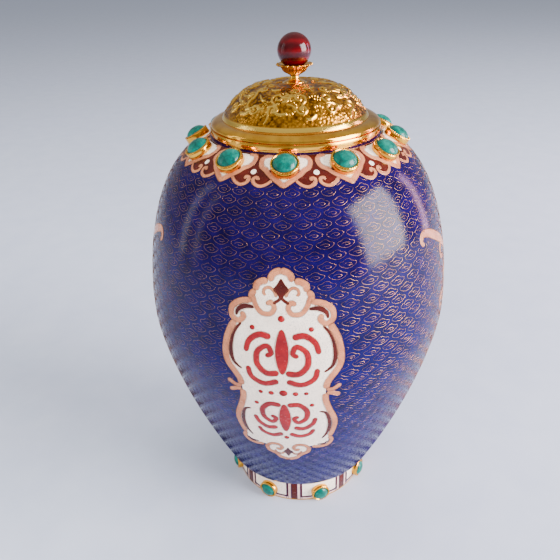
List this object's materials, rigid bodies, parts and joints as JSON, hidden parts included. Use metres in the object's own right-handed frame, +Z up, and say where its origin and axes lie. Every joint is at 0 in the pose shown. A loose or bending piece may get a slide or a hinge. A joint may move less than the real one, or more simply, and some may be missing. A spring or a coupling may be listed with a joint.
{
  "type": "cloisonne vase",
  "caption": "Egg-shaped enamelled jar on a short foot, with a collar of set stones and a gilt domed lid that lifts off and turns; holds small dry things.",
  "frame": {"origin": "centre of the foot's bottom face, on the surface the jar stands on", "axes": "+Z up along the jar's axis; the front panel faces -Y and +X is to its right"},
  "size_m": [0.176, 0.176, 0.2885],
  "materials": {
    "copper": "satin copper sheet, seen only inside the walls",
    "blue_enamel": "polished deep blue enamel over fine gilt wires",
    "brown_enamel": "polished red-brown enamel",
    "white_enamel": "polished warm white enamel",
    "peach_enamel": "polished peach enamel",
    "red_enamel": "polished dark red enamel",
    "lining_enamel": "plain counter-enamel, glossy",
    "gilt": "polished gilding",
    "embossed_gilt": "gilding over embossed relief, darker in the hollows",
    "brass": "plain turned brass",
    "turquoise": "polished turquoise, slightly mottled",
    "agate": "polished dark red agate"
  },
  "bodies": {
    "vessel": {"lower_shell": "copper", "upper_shell": "copper", "inner_lining": "lining_enamel", "ground_enamel": "blue_enamel", "collar_enamel": "brown_enamel", "front_panel": "white_enamel", "back_panel": "white_enamel", "left_panel": "peach_enamel", "right_panel": "peach_enamel", "neck_ring": "gilt", "foot_ring": "gilt", "foot_enamel": "white_enamel", "base_enamel": "lining_enamel", "foot_bezels": "gilt", "collar_stone_1": "turquoise", "collar_stone_2": "turquoise", "collar_stone_3": "turquoise", "collar_stone_4": "turquoise", "collar_stone_5": "turquoise", "collar_stone_6": "turquoise", "collar_stone_7": "turquoise", "collar_stone_8": "turquoise", "collar_stone_9": "turquoise", "collar_stone_10": "turquoise", "collar_stone_11": "turquoise", "collar_stone_12": "turquoise", "collar_bezel_1": "gilt", "collar_bezel_2": "gilt", "collar_bezel_3": "gilt", "collar_bezel_4": "gilt", "collar_bezel_5": "gilt", "collar_bezel_6": "gilt", "collar_bezel_7": "gilt", "collar_bezel_8": "gilt", "collar_bezel_9": "gilt", "collar_bezel_10": "gilt", "collar_bezel_11": "gilt", "collar_bezel_12": "gilt", "foot_stone_1": "turquoise", "foot_stone_2": "turquoise", "foot_stone_3": "turquoise", "foot_stone_4": "turquoise", "foot_stone_5": "turquoise", "foot_stone_6": "turquoise", "foot_stone_7": "turquoise", "foot_stone_8": "turquoise"},
    "lid_carrier": {"lid_sleeve": "gilt"},
    "lid": {"lid_flange": "gilt", "lid_dome": "embossed_gilt", "finial_stem": "gilt", "petal_cup": "gilt", "agate_bead": "agate", "finial_rod": "brass", "finial_washer": "brass", "finial_nut": "brass"}
  },
  "joints": [
    {"name": "lid_lift", "type": "slide", "parent": "vessel", "child": "lid_carrier", "axis": [0, 0, 1], "range_m": [0, 0.1]},
    {"name": "lid_turn", "type": "hinge", "parent": "lid_carrier", "child": "lid", "pos_m": [0, 0, 0.2398], "axis": [0, 0, 1], "continuous": true}
  ]
}
